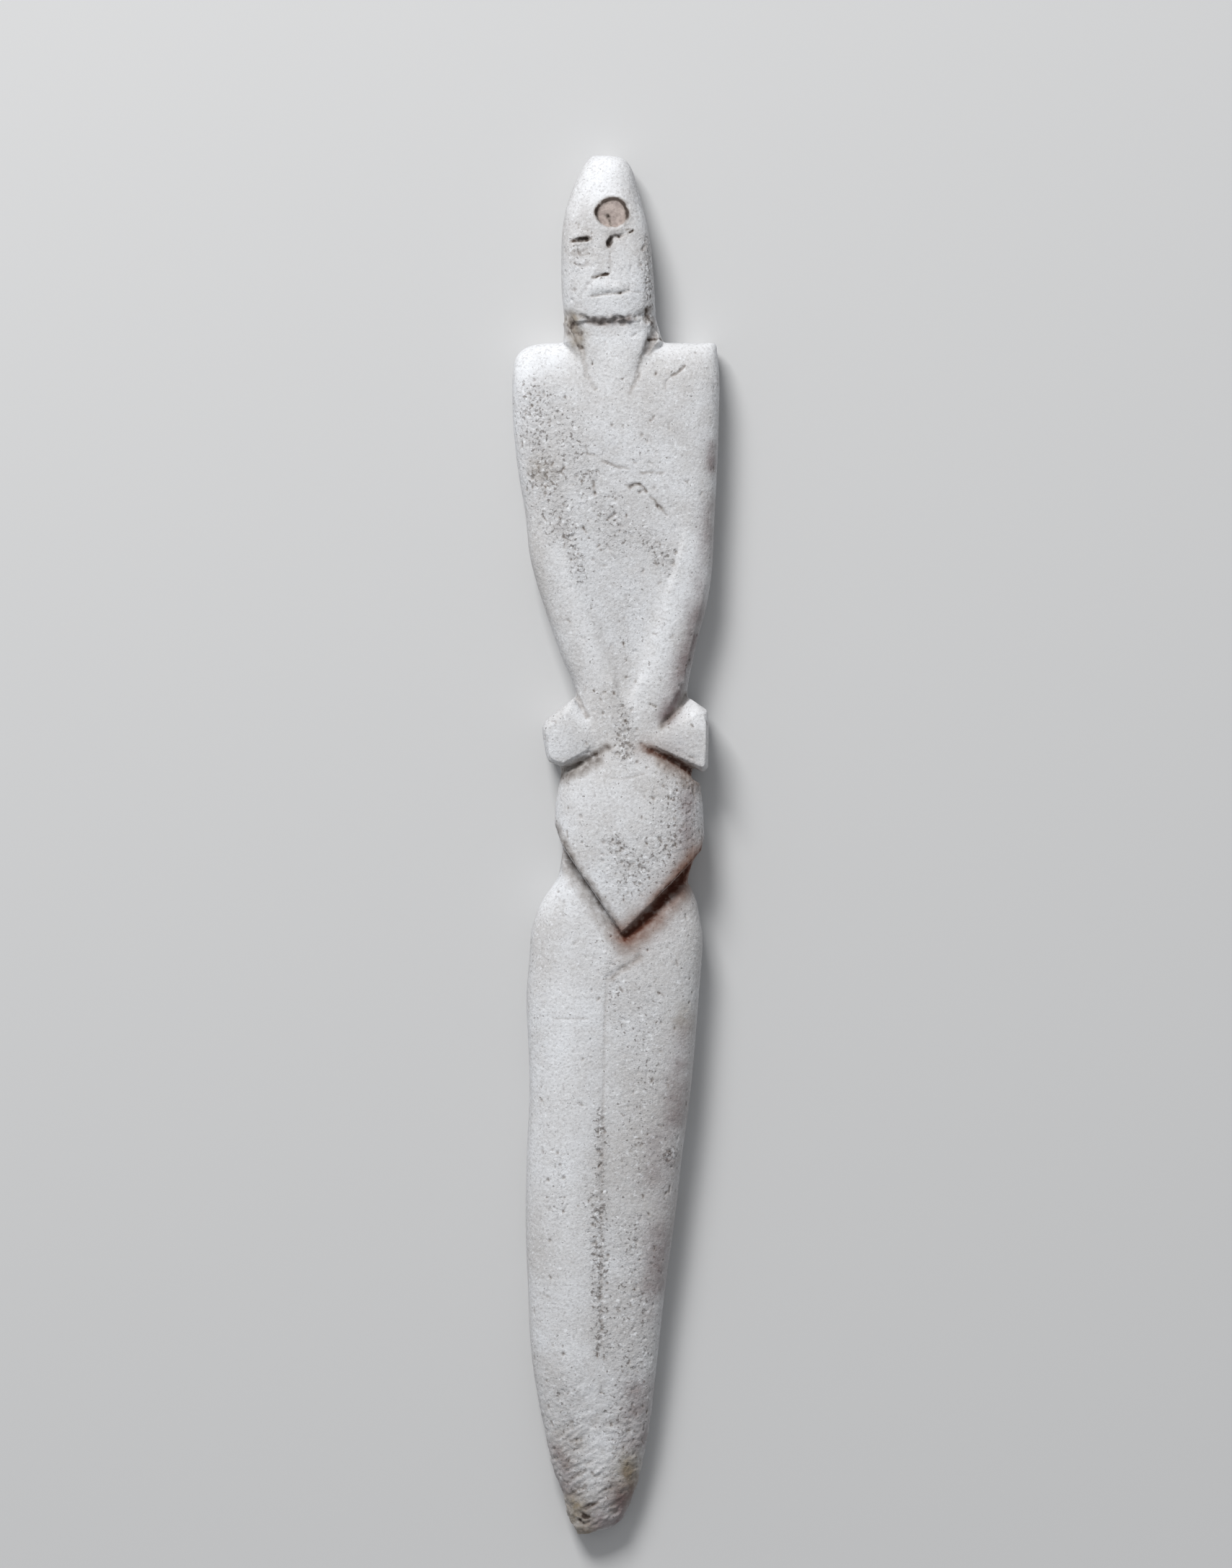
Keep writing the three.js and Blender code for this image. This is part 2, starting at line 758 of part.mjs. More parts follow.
// Joined and cut.
const carvedLegs = legs.solid.subtract(Manifold.union([...bellyGrooves, legLine, crotchLine]));
const carvedTorso = torso.solid.subtract(Manifold.union([chestPanel, rightFlank]));
const carvedHead = head.solid.subtract(Manifold.union([...faceCuts, socket]));
const figure = Manifold.union([carvedTorso, neck.solid, leftKnob, rightKnob, shield])
  .subtract(Manifold.union([...neckGrooves, ...knobGrooves, ...knobCreases]))
  .add(carvedLegs)
  .add(carvedHead)
  .subtract(chinCut);

// The figure is centred over its own footprint, with its back on the ground.
const { min, max } = figure.boundingBox();
const placed = figure.translate([-(min[0] + max[0]) / 2, -(min[1] + max[1]) / 2, -min[2]]);

function meshOf(solid, name) {
  const { vertProperties, triVerts } = solid.getMesh();
  const geometry = new THREE.BufferGeometry();
  geometry.setAttribute("position", new THREE.BufferAttribute(vertProperties, 3));
  geometry.setIndex(new THREE.BufferAttribute(triVerts, 1));
  const faceted = geometry.toNonIndexed();
  faceted.computeVertexNormals();
  const mesh = new THREE.Mesh(faceted, new THREE.MeshStandardMaterial({ color: 0xd8d4cc }));
  mesh.name = name;
  return mesh;
}

const group = new THREE.Group();
group.name = "bone_idol";
group.add(meshOf(placed, "idol"));

export default group;
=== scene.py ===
# %% [markdown]
# # A carved bone idol
# The idol is a slender figure about 168 mm long, whittled and ground from one split length of bone.
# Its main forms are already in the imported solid: the tall head, the crossed forearms with a knob at
# each side, the pointed belly and the joined legs. This script gives that solid the surface of old,
# weathered bone. The solid could be shown with a bone colour on it, but its flat facets would look
# cut by a machine. So a copy of it is remeshed finely, softened, and worn and pitted by small moves
# of its points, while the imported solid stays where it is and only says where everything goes.

import math
import random

import bmesh
import bpy
import numpy as np
from mathutils import Matrix, Vector, kdtree, noise

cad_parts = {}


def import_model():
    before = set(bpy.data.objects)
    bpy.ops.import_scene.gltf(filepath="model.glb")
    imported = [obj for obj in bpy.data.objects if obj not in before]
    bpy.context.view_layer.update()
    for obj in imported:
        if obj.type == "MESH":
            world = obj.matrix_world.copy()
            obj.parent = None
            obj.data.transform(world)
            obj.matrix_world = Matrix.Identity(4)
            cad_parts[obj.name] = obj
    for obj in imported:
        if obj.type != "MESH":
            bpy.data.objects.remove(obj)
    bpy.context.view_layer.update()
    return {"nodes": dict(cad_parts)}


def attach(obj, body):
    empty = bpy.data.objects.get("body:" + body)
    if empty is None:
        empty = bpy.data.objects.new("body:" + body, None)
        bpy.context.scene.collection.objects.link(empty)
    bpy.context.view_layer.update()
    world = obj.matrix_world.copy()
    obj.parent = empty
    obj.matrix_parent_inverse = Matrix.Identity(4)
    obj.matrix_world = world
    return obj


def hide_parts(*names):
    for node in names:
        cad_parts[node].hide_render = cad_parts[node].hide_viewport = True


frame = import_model()
solid = frame["nodes"]["idol"]

# %% [markdown]
# ## Where things are
# The surface marks are read off the photograph, so their places are written as pixels of it. One scale
# turns them into millimetres on the idol, measured from the middle of its footprint: x to the right, y
# towards the head and z up from the flat back. Working in millimetres keeps the numbers easy to read,
# and the finished mesh is turned back into metres at the end.

# %% Turn pixels into millimetres
millimetre = 0.001
photo_width, photo_height = 1708, 2174
idol_middle = (854, 1171)
pixel = 0.08787


def traced(*pixels):
    """The places on the idol, in millimetres, that these pixels of the photograph show."""
    return (np.array(pixels, float) - idol_middle) * (pixel, -pixel)


print("the crown is at y", traced((845, 215))[0, 1].round(1), "mm")

# %% [markdown]
# ## The blank
# A voxel remesh rebuilds the whole surface as small even squares, whatever the shape of the triangles
# that the solid came with. It needs a closed surface, so the copy's doubled corners are merged first.
# Subdividing the triangles would keep their long thin shapes, and sculpted pits on those would tear.

# %% Merge a copy of the solid and remesh it
voxel = 0.17


def shown_mesh(piece):
    """The mesh that a piece has with its modifiers applied."""
    depsgraph = bpy.context.evaluated_depsgraph_get()
    return bpy.data.meshes.new_from_object(piece.evaluated_get(depsgraph))


def apply_modifiers(piece):
    """Swaps a piece's mesh for the one that its modifiers make, and clears them."""
    finished = shown_mesh(piece)
    piece.modifiers.clear()
    piece.data = finished


merged = bmesh.new()
merged.from_mesh(solid.data)
bmesh.ops.remove_doubles(merged, verts=merged.verts, dist=1e-6)
bmesh.ops.scale(merged, verts=merged.verts, vec=(1 / millimetre,) * 3)

idol = bpy.data.objects.new("bone_idol", bpy.data.meshes.new("bone_idol"))
bpy.context.scene.collection.objects.link(idol)
merged.to_mesh(idol.data)
remesh = idol.modifiers.new("even squares", "REMESH")
remesh.mode = "VOXEL"
remesh.voxel_size = voxel
apply_modifiers(idol)
print("remeshed to", len(idol.data.vertices), "points")

# %% [markdown]
# ## Softening the facets
# Bone that was scraped with stone has no facets, but its cut lines stay fairly crisp. So the surface
# is smoothed strongly everywhere except beside the sharp edges of the carving. The sharp edges are
# found on the solid itself, as those where two faces meet at a steep angle, above the rounded rim of
# the back. Some of them have worn down to soft slopes, so those inside a few named boxes are left out.
# Smoothing also eats away at ends and corners, so no point may move further than a fifth of a
# millimetre.

# %% Find the sharp carved edges
sharp_angle = math.radians(33)
back_rounding = 2.0
sample_spacing = 0.4
knob_top = 6.6
worn_areas = {
    "inner edges of the forearms": (traced((750, 952), (930, 590)), 0),
    "tops of the knobs": (traced((745, 1085), (985, 955)), knob_top),
    "left end of the chin": (traced((775, 456), (801, 436)), 0),
    "right end of the chin": (traced((878, 456), (905, 436)), 0),
    "lower ends of the neck grooves": (traced((800, 560), (888, 490)), 0),
    "side of the nose": (traced((834, 380), (858, 336)), 0),
    "line between the legs": (traced((822, 1900), (858, 1362)), 0),
}


def is_worn(place):
    """True for a place in one of the worn areas, above that area's least height."""
    return any(
        low[0] < place.x < high[0] and low[1] < place.y < high[1] and place.z > least_height
        for (low, high), least_height in worn_areas.values()
    )


sharp_points = []
for edge in merged.edges:
    first, last = (corner.co for corner in edge.verts)
    middle = (first + last) / 2
    if edge.calc_face_angle(0) > sharp_angle and middle.z > back_rounding and not is_worn(middle):
        steps = max(1, round((last - first).length / sample_spacing))
        sharp_points += [first.lerp(last, step / steps) for step in range(steps + 1)]
merged.free()

sharp_tree = kdtree.KDTree(len(sharp_points))
for index, place in enumerate(sharp_points):
    sharp_tree.insert(place, index)
sharp_tree.balance()
print(len(sharp_points), "points along the sharp edges")

# %% Smooth the rest
kept_crisp = 0.35
fully_soft = 1.5
soft_passes = 110
ripple_passes = 3
most_softening = 0.2


def points_of(mesh):
    """A mesh's points as rows of x, y and z."""
    flat = np.empty(len(mesh.vertices) * 3)
    mesh.vertices.foreach_get("co", flat)
    return flat.reshape(-1, 3)


def smoothing(piece, passes, group=""):
    """Adds a Smooth modifier to a piece, and applies it."""
    modifier = piece.modifiers.new("smooth", "SMOOTH")
    modifier.factor = 1.0 if group else 0.5
    modifier.iterations = passes
    modifier.vertex_group = group
    apply_modifiers(piece)


blank = points_of(idol.data)
edge_distance = np.array([sharp_tree.find(place)[2] for place in blank])
softness = np.clip((edge_distance - kept_crisp) / (fully_soft - kept_crisp), 0, 1)
open_surface = idol.vertex_groups.new(name="open_surface")
for level in range(1, 11):
    chosen = np.flatnonzero(np.round(softness * 10) == level)
    open_surface.add(chosen.tolist(), level / 10, "REPLACE")
smoothing(idol, soft_passes, "open_surface")
softened = points_of(idol.data) - blank
length = np.linalg.norm(softened, axis=1, keepdims=True)
softened *= np.minimum(1, most_softening / np.maximum(length, 1e-9))
idol.data.vertices.foreach_set("co", (blank + softened).ravel())
smoothing(idol, ripple_passes)
idol.vertex_groups.clear()
print("softened", int((softness > 0.5).sum()), "points")

# %% [markdown]
# ## Recording the carving
# From here on the marks are worked out with numpy, for all points at once. Each mark adds to how deep
# a point sinks, and to how much brown soil has settled there. Beside the belly's point and along the
# socket's upper rim, that soil is also painted shadow. Brushes in sculpt mode could do the same by hand,
# but a few functions with named places can be read, changed and run again.

# %% Start the record of depth, and of soil with its painted shadow
points = points_of(idol.data)
normals = np.empty(len(points) * 3)
idol.data.vertices.foreach_get("normal", normals)
normals = normals.reshape(-1, 3)
least_upward = 0.05
faces_up = normals[:, 2] > least_upward
depth = np.zeros(len(points))
soil_and_shade = np.zeros(len(points))


def ripple(size, octaves=1, shift=0.0, stretch=(1, 1, 1), turn=0.0):
    """Smooth noise from about -1 to 1 at every point, in lumps of `size` millimetres."""
    turned = points @ np.array(Matrix.Rotation(turn, 3, "Z"))
    places = turned / (np.array(stretch) * size) + shift
    return np.array([noise.fractal(Vector(place), 1.0, 2.0, octaves) for place in places])


wobble = ripple(1.1, octaves=2)
crumble = ripple(0.5, octaves=2, shift=7.0)
print("wobble from", wobble.min().round(2), "to", wobble.max().round(2))

# %% [markdown]
# ## Strokes and pits
# Every crack, groove and chip is a stroke along a line that bends at a few places. A stroke is deepest
# on its line and comes up to the surface at half its width, and a ripple shakes its edges, so that no
# stroke looks ruled. A pit is the same around one place. Widths, cuts and shakes are in millimetres,
# and the dirt and shade runs from 0 to about 1: it is soil, and beside the belly's point also painted
# shadow. A stroke with a cut of 0 only leaves that colour.

# %% Define strokes and pits
def distance_to(path, places):
    """How far places lie from a bent line, or from a single point, seen from above."""
    nearest = np.full(len(places), np.inf)
    ends = path[1:] if len(path) > 1 else path
    for start, end in zip(path, ends):
        span = end - start
        share = np.clip((places - start) @ span / max(span @ span, 1e-9), 0, 1)
        gap = places - start - share[:, None] * span
        nearest = np.minimum(nearest, np.hypot(*gap.T))
    return nearest


uneven_depth = 0.35
uneven_soil = 0.8


def stroke(path, width, cut, dirt_and_shade=0.0, shake=0.12):
    """Cuts a groove of that width along a line, or raises a ridge where `cut` is negative."""
    reach = width / 2 + 2 * shake
    inside = (points[:, :2] > path.min(0) - reach) & (points[:, :2] < path.max(0) + reach)
    chosen = np.flatnonzero(inside.all(1) & faces_up)
    distance = distance_to(path, points[chosen, :2]) + shake * wobble[chosen]
    share = np.clip(1 - np.abs(distance) / (width / 2), 0, 1)
    depth[chosen] += cut * share * (1 + uneven_depth * crumble[chosen])
    broken = np.clip(1 + uneven_soil * crumble[chosen], 0, 1)
    soil_and_shade[chosen] = np.maximum(soil_and_shade[chosen], dirt_and_shade * share ** 0.5 * broken)


def pits(places, width, cut, dirt_and_shade=0.5):
    """Sinks a small pit at each place."""
    for place in places:
        stroke(place[None], width, cut, dirt_and_shade, shake=0.1)


def spread(bands):
    """A map of soft bands, each along a line or round a point, with a width and a strength."""
    most = np.zeros(len(points))
    for line, width, strength in bands:
        share = np.exp(-((distance_to(line, points[:, :2]) / width) ** 2))
        most = np.maximum(most, strength * share)
    return most


# %% [markdown]
# ## The face
# The face is a few schematic cuts, as on the solid: two eye slits, a long narrow nose that stands out
# a little, a nick under it, a raised lip and a mouth line. The cuts on the solid are clean, so each is
# gone over again here with an uneven stroke. The forehead has a drilled socket with a raised lower rim,
# a dark point at its middle and a crack from there down to the rim. Its upper rim gets soil and a
# painted shadow, darkest at the top, where its wall shades its floor.

# %% Place the cuts of the face
left_eye = traced((793, 335), (806, 333), (819, 332))
left_eye_middle = traced((803, 333), (814, 332))
left_lid = traced((799, 339), (815, 338))
under_left_eye = traced((795, 348), (804, 352), (809, 349), (814, 346), (791, 364), (803, 369), (813, 364))
right_eye = traced((844, 342), (846, 334), (851, 329), (859, 329))
right_eye_middle = traced((846, 336), (848, 331))
right_brow = traced((857, 329), (866, 327), (872, 324), (878, 320))
nose_right = traced((844, 338), (845, 350), (846, 378))
nose_foot = traced((822, 386), (832, 383), (844, 381))
upper_lip = traced((824, 399), (845, 397), (856, 399))
lip_left = traced((822, 389), (813, 398), (806, 410))
lip_right = traced((850, 388), (861, 396), (868, 404))
mouth = traced((820, 412), (847, 408), (859, 408), (872, 404))
mouth_corner = traced((854, 408), (861, 407))
mouth_end = traced((876, 405), (893, 407))
cheek_pits = traced((893, 343), (891, 347), (888, 368), (796, 402))
cheek_creases = [
    traced((791, 352), (804, 356), (816, 353)),
    traced((796, 366), (805, 370), (815, 368)),
]
print("the mouth is at y", mouth[0, 1].round(1), "mm")

# %% Go over the eyes, nose and mouth
stroke(left_eye, width=0.5, cut=0.3, dirt_and_shade=0.95)
stroke(left_eye_middle, width=0.85, cut=0.3, dirt_and_shade=1.0)
stroke(left_lid, width=0.55, cut=-0.15)
pits(under_left_eye, width=0.5, cut=0.12, dirt_and_shade=0.45)
stroke(right_eye, width=2.0, cut=0.0, dirt_and_shade=0.3, shake=0.5)
stroke(right_eye, width=0.8, cut=0.35, dirt_and_shade=1.0, shake=0.25)
stroke(right_eye_middle, width=0.95, cut=0.25, dirt_and_shade=1.0, shake=0.2)
stroke(right_brow, width=0.35, cut=0.2, dirt_and_shade=1.0)
stroke(nose_right, width=0.4, cut=0.06, dirt_and_shade=0.25)
stroke(nose_foot, width=0.4, cut=0.15, dirt_and_shade=1.0)
stroke(upper_lip, width=1.9, cut=-0.14, shake=0.05)
stroke(lip_left, width=0.4, cut=0.07, dirt_and_shade=0.15)
stroke(lip_right, width=0.45, cut=0.08, dirt_and_shade=0.1)
stroke(mouth, width=0.4, cut=0.18, dirt_and_shade=0.5, shake=0.05)
stroke(mouth_corner, width=0.35, cut=0.12, dirt_and_shade=0.9)
stroke(mouth_end, width=0.25, cut=0.08, dirt_and_shade=0.4)
pits(cheek_pits, width=0.6, cut=0.15, dirt_and_shade=0.6)
for line in cheek_creases:
    stroke(line, width=0.35, cut=0.08, dirt_and_shade=0.35, shake=0.2)
print("the face is gone over")

# %% Raise the lower rim of the socket, and paint shadow and soil along its upper rim
socket = traced((848, 297))[0]
socket_radius = 1.85
rim_offset = 0.15
rim_half_width = 0.5
rim_height = 0.2
shadow_and_soil_half_width = 0.3
rim_shake = 0.08
shadow_and_soil_shake = 0.12
from_socket = np.hypot(*(points[:, :2] - socket).T)
below_socket = (socket[1] - points[:, 1]) / socket_radius
rim_distance = np.abs(from_socket + rim_shake * wobble - socket_radius - rim_offset)
lower_rim = np.clip(1 - rim_distance / rim_half_width, 0, 1) * np.clip(1.2 * below_socket, 0, 1)
depth[faces_up] -= rim_height * lower_rim[faces_up]

# Painted shadow with soil along the upper rim, darkest at the top, where the wall shades the floor
edge_distance = np.abs(from_socket + shadow_and_soil_shake * wobble - socket_radius)
upper_rim = np.clip(1.4 - edge_distance / shadow_and_soil_half_width, 0, 1)
soil_and_shade[faces_up] = np.maximum(soil_and_shade, upper_rim * np.clip(1.1 - 1.3 * below_socket, 0, 1))[faces_up]
print("socket at", socket.round(1), "mm")

# %% Finish the socket in the forehead
wall_band = 0.6
wall_unevenness = 0.2
socket_middle = traced((843, 301))
socket_crack = traced((843, 302), (845, 307), (847, 315))
brow_facet = traced((866, 243), (879, 260), (886, 284))
upper_edge = traced((827, 298), (829, 285), (838, 277), (850, 274), (862, 279))
right_edge = traced((868, 285), (872, 298), (867, 312))
stroke(socket_crack, width=0.4, cut=0.15, dirt_and_shade=0.8, shake=0.1)
stroke(socket_crack, width=1.8, cut=0.0, dirt_and_shade=0.2, shake=0.3)
pits(socket_middle, width=0.8, cut=0.25, dirt_and_shade=0.95)
# The dark line along the upper edge is partly painted shadow of the socket's wall, partly a dirty seam
stroke(upper_edge, width=0.6, cut=0.12, dirt_and_shade=0.7, shake=0.35)
stroke(right_edge, width=0.4, cut=0.08, dirt_and_shade=0.5, shake=0.3)
stroke(brow_facet, width=3.2, cut=0.14, shake=0.3)

outward = (points[:, :2] - socket) / np.maximum(from_socket, 0.1)[:, None]
at_wall = np.clip(1.5 - np.abs(from_socket - socket_radius) / wall_band, 0, 1)
uneven_wall = outward * (wall_unevenness * ripple(1.3, octaves=2, shift=12.0) * at_wall)[:, None]
print("its wall moves up to", np.abs(uneven_wall).max().round(2), "mm")

# %% [markdown]
# ## Neck, knobs, belly and legs
# The chin is undercut by a rough brown line, and shallow grooves part the neck from the shoulders. The
# notches under the knobs and the V under the belly hold most of the soil. Beside the V the wide bands
# are partly soil and partly painted shadow cast by the belly's edge. The line between the legs is worn
# until it is only a row of pores, so it is a faint stroke here and gets its pores further on.

# %% Place the chin, the jaw and the neck's lines
chin = [
    traced((804, 439), (811, 440), (818, 445)),
    traced((822, 444), (832, 448), (839, 446)),
    traced((844, 446), (850, 441), (858, 441), (866, 444), (874, 439)),
    traced((851, 444), (854, 451)),
    traced((859, 443), (863, 450)),
]
chin_crumbs = traced((820, 444), (829, 446), (841, 447), (847, 442), (857, 443), (870, 443))
jaw_specks = traced((881, 441), (888, 437), (894, 443), (900, 436), (897, 448))
jaw_corner = traced((893, 440), (903, 452))
jaw_ends = [traced((776, 444), (799, 444)), traced((879, 444), (905, 444))]
under_jaw = np.array((0, -0.5))
under_chin = traced((818, 456), (870, 454))
neck_stain = traced((790, 446), (799, 474))
neck_left = [
    traced((784, 443), (792, 449), (800, 450)),
    traced((787, 452), (795, 460), (803, 463)),
    traced((788, 462), (798, 474), (806, 482)),
    traced((792, 448), (797, 468)),
]
neck_left_low = traced((793, 473), (807, 487), (813, 518), (824, 540))
jaw_right = traced((899, 430), (901, 440), (906, 452))
neck_right = traced((914, 456), (902, 470), (889, 495), (885, 516), (873, 546))
neck_sliver = traced((911, 457), (905, 472), (898, 488))
neck_corner = traced((902, 473), (908, 468), (923, 473))
print("the chin line is at y", chin[1][0, 1].round(1), "mm")

# %% Place the notches, the belly's edges and the leg line
left_notch = traced((757, 1058), (770, 1066), (784, 1068), (806, 1057), (827, 1045), (842, 1036))
right_notch = traced((895, 1037), (922, 1048), (953, 1067), (974, 1079))
under_notch = np.array((0, -0.7))
left_crease = traced((797, 960), (806, 980), (814, 993))
right_crease = traced((951, 964), (941, 982), (925, 997), (917, 1008))
belly_left = traced((770, 1147), (786, 1183), (812, 1221), (833, 1252), (860, 1292))
belly_right = traced((972, 1182), (955, 1202), (928, 1232), (898, 1268), (866, 1297))
bank = np.array((0.5, 0.5))
crotch = traced((848, 1356), (859, 1347), (870, 1340), (887, 1327))
leg_line = traced((842, 1354), (840, 1385), (838, 1461), (836, 1540), (834, 1640), (834, 1867))
print("the belly's point is at y", belly_left[-1, 1].round(1), "mm")

# %% Dirty and roughen the carved lines, and paint shadow beside the belly's point
for line in chin:
    stroke(line, width=0.8, cut=0.2, dirt_and_shade=0.6, shake=0.4)
stroke(under_chin, width=2.6, cut=0.0, dirt_and_shade=0.14, shake=0.5)
pits(chin_crumbs, width=0.9, cut=-0.35, dirt_and_shade=0)
stroke(jaw_corner, width=2.6, cut=0.3, shake=0.4)
pits(jaw_specks, width=0.6, cut=0.12, dirt_and_shade=0.5)
for line in jaw_ends:
    stroke(line + under_jaw, width=1.6, cut=-0.2)
    stroke(line - under_jaw, width=1.6, cut=0.16)
stroke(neck_stain, width=2.4, cut=0.0, dirt_and_shade=0.35, shake=0.4)
for line in neck_left:
    stroke(line, width=0.7, cut=0.2, dirt_and_shade=0.8, shake=0.3)
stroke(neck_left_low, width=0.6, cut=0.08, dirt_and_shade=0.3, shake=0.4)
stroke(jaw_right, width=0.9, cut=0.15, dirt_and_shade=0.8, shake=0.4)
stroke(neck_sliver, width=1.6, cut=0.35, dirt_and_shade=0.5, shake=0.3)
stroke(neck_right, width=0.7, cut=0.1, dirt_and_shade=0.45, shake=0.4)
stroke(neck_corner, width=0.5, cut=0.2, dirt_and_shade=0.95, shake=0.2)
stroke(left_notch, width=1.2, cut=0.1, dirt_and_shade=0.8, shake=0.2)
stroke(left_notch[:5] + under_notch, width=2.2, cut=0.0, dirt_and_shade=0.65, shake=0.4)
stroke(right_notch, width=1.4, cut=0.1, dirt_and_shade=0.95, shake=0.2)
stroke(right_notch[1:] + 1.4 * under_notch, width=2.6, cut=0.0, dirt_and_shade=0.5, shake=0.5)
stroke(left_crease, width=0.8, cut=0.1, dirt_and_shade=0.45)
stroke(right_crease, width=1.0, cut=0.1, dirt_and_shade=0.6)
# Beside the belly's point the wide bands are partly brown and rusty soil, partly painted shadow of its
# edge
stroke(belly_left, width=1.6, cut=0.06, dirt_and_shade=0.7, shake=0.2)
stroke(belly_left - bank, width=2.8, cut=0.0, dirt_and_shade=0.5, shake=0.4)
stroke(belly_right + 0.3 * bank * (1, -1), width=1.9, cut=0.12, dirt_and_shade=1.1, shake=0.25)
stroke(belly_right + bank * (1, -1), width=4.0, cut=0.0, dirt_and_shade=0.6, shake=0.5)
stroke(crotch, width=0.9, cut=0.15, dirt_and_shade=0.4, shake=0.25)
stroke(leg_line, width=0.5, cut=0.1, dirt_and_shade=0.2, shake=0.1)
print("most soil", soil_and_shade.max().round(2))

# %% [markdown]
# ## Cracks and chips
# Bone dries, cracks and flakes. The photograph shows hairline cracks on the chest, with two darker
# ones in a row, a curved chip on the right shoulder, and a few scratches. Each is a narrow stroke at
# its own place.

# %% Add the cracks, the chip and the scratches
cracks = [
    traced((922, 541), (923, 530), (931, 522), (940, 517), (949, 508)),
    traced((893, 679), (887, 683)),
    traced((812, 617), (814, 630), (827, 632)),
    traced((822, 668), (825, 685)),
    traced((781, 745), (791, 751), (795, 750)),
    traced((854, 712), (842, 722)),
]
scratches = [
    traced((847, 1079), (866, 1080), (896, 1072)),
    traced((770, 1412), (815, 1412)),
]
chest_scratches = [traced((835, 640), (854, 647), (871, 650)), traced((888, 656), (919, 656))]
chest_cracks = [
    traced((857, 675), (865, 672), (874, 675), (880, 671), (887, 672), (893, 677), (896, 682)),
    traced((903, 690), (908, 694), (912, 703), (919, 709), (925, 716)),
]
for line in cracks:
    stroke(line, width=0.32, cut=0.18, dirt_and_shade=0.55, shake=0.2)
for line in chest_scratches:
    stroke(line, width=0.4, cut=0.08, dirt_and_shade=0.5, shake=0.1)
for line in chest_cracks:
    stroke(line, width=0.4, cut=0.2, dirt_and_shade=0.75, shake=0.25)
for line in scratches:
    stroke(line, width=0.25, cut=0.06, dirt_and_shade=0.3, shake=0.05)
print(len(cracks + chest_cracks), "cracks and", len(scratches + chest_scratches), "scratches")

# %% Sink the single pits
deep_pits = traced(
    (733, 546), (748, 545), (737, 563), (864, 592), (848, 590), (890, 603), (902, 584), (825, 541),
    (738, 663), (756, 684), (854, 692), (852, 713), (937, 766), (933, 782), (810, 662), (868, 939),
    (865, 858), (872, 1031), (889, 1031), (858, 1019), (883, 1011), (875, 984), (855, 1045),
    (871, 1048), (883, 1056), (896, 1064), (862, 1195), (872, 1202), (888, 1199), (854, 1211),
    (837, 1167), (942, 1121), (914, 1162), (932, 1166), (887, 1225), (777, 1614), (760, 1635),
    (782, 1632), (773, 1598), (762, 1675), (781, 1679), (762, 1719), (780, 1866), (781, 1876),
    (838, 1569), (835, 1601), (833, 1612), (832, 1633), (822, 1671), (832, 1683), (822, 1697),
    (823, 1723), (831, 1729), (843, 1740), (835, 1758), (832, 1797), (859, 1818), (768, 2008),
    (799, 1996),
)
pits(deep_pits, width=0.5, cut=0.2, dirt_and_shade=0.6)
print(len(deep_pits), "single pits")

# %% [markdown]
# ## Pores
# Weathering has opened the fine canals of the bone. Where the outer layer is thin, as on the left of
# the chest, on the right of the belly and along the middle of the legs, the pores are many. A map says
# how porous each place is. Points of the mesh are then drawn at random, and each becomes a short narrow
# nick, more often the more porous its place is. Noise alone could dent the surface as well, but real
# pores are separate holes, and seen close they should look so. The finest ones are left to the
# material. Each list of places runs from the head down.

# %% Map the places that are rubbed smooth and pale, and the painted highlights
# Painted highlights on the crown, shoulders, knob tops, wrist and left thigh's edge; elsewhere rubbed bone
pale_and_highlight = spread([
    (traced((842, 225), (836, 262)), 3.2, 1.0),
    (traced((885, 276), (891, 310)), 0.8, 0.6),
    (traced((795, 292)), 1.4, 0.6),
    (traced((830, 400), (850, 398), (835, 428)), 1.8, 0.6),
    (traced((850, 470), (848, 530)), 2.6, 0.6),
    (traced((925, 475), (985, 475)), 2.0, 1.0),
    (traced((722, 500), (735, 470), (768, 480)), 2.4, 1.0),
    (traced((962, 750), (940, 830), (910, 910), (882, 975)), 1.4, 0.8),
    (traced((775, 770), (795, 840), (830, 940)), 1.3, 0.5),
    (traced((800, 985), (808, 1000)), 1.1, 1.0),
    (traced((955, 985), (972, 1000)), 1.1, 1.0),
    (traced((885, 985), (880, 1000)), 0.9, 0.6),
    (traced((765, 1226), (750, 1256)), 0.9, 0.8),
    (traced((785, 1380), (782, 1620), (795, 1880)), 2.6, 0.5),
    (traced((835, 2000), (830, 2050)), 1.6, 0.5),
])
print("pale share", (pale_and_highlight > 0.3).mean().round(3))

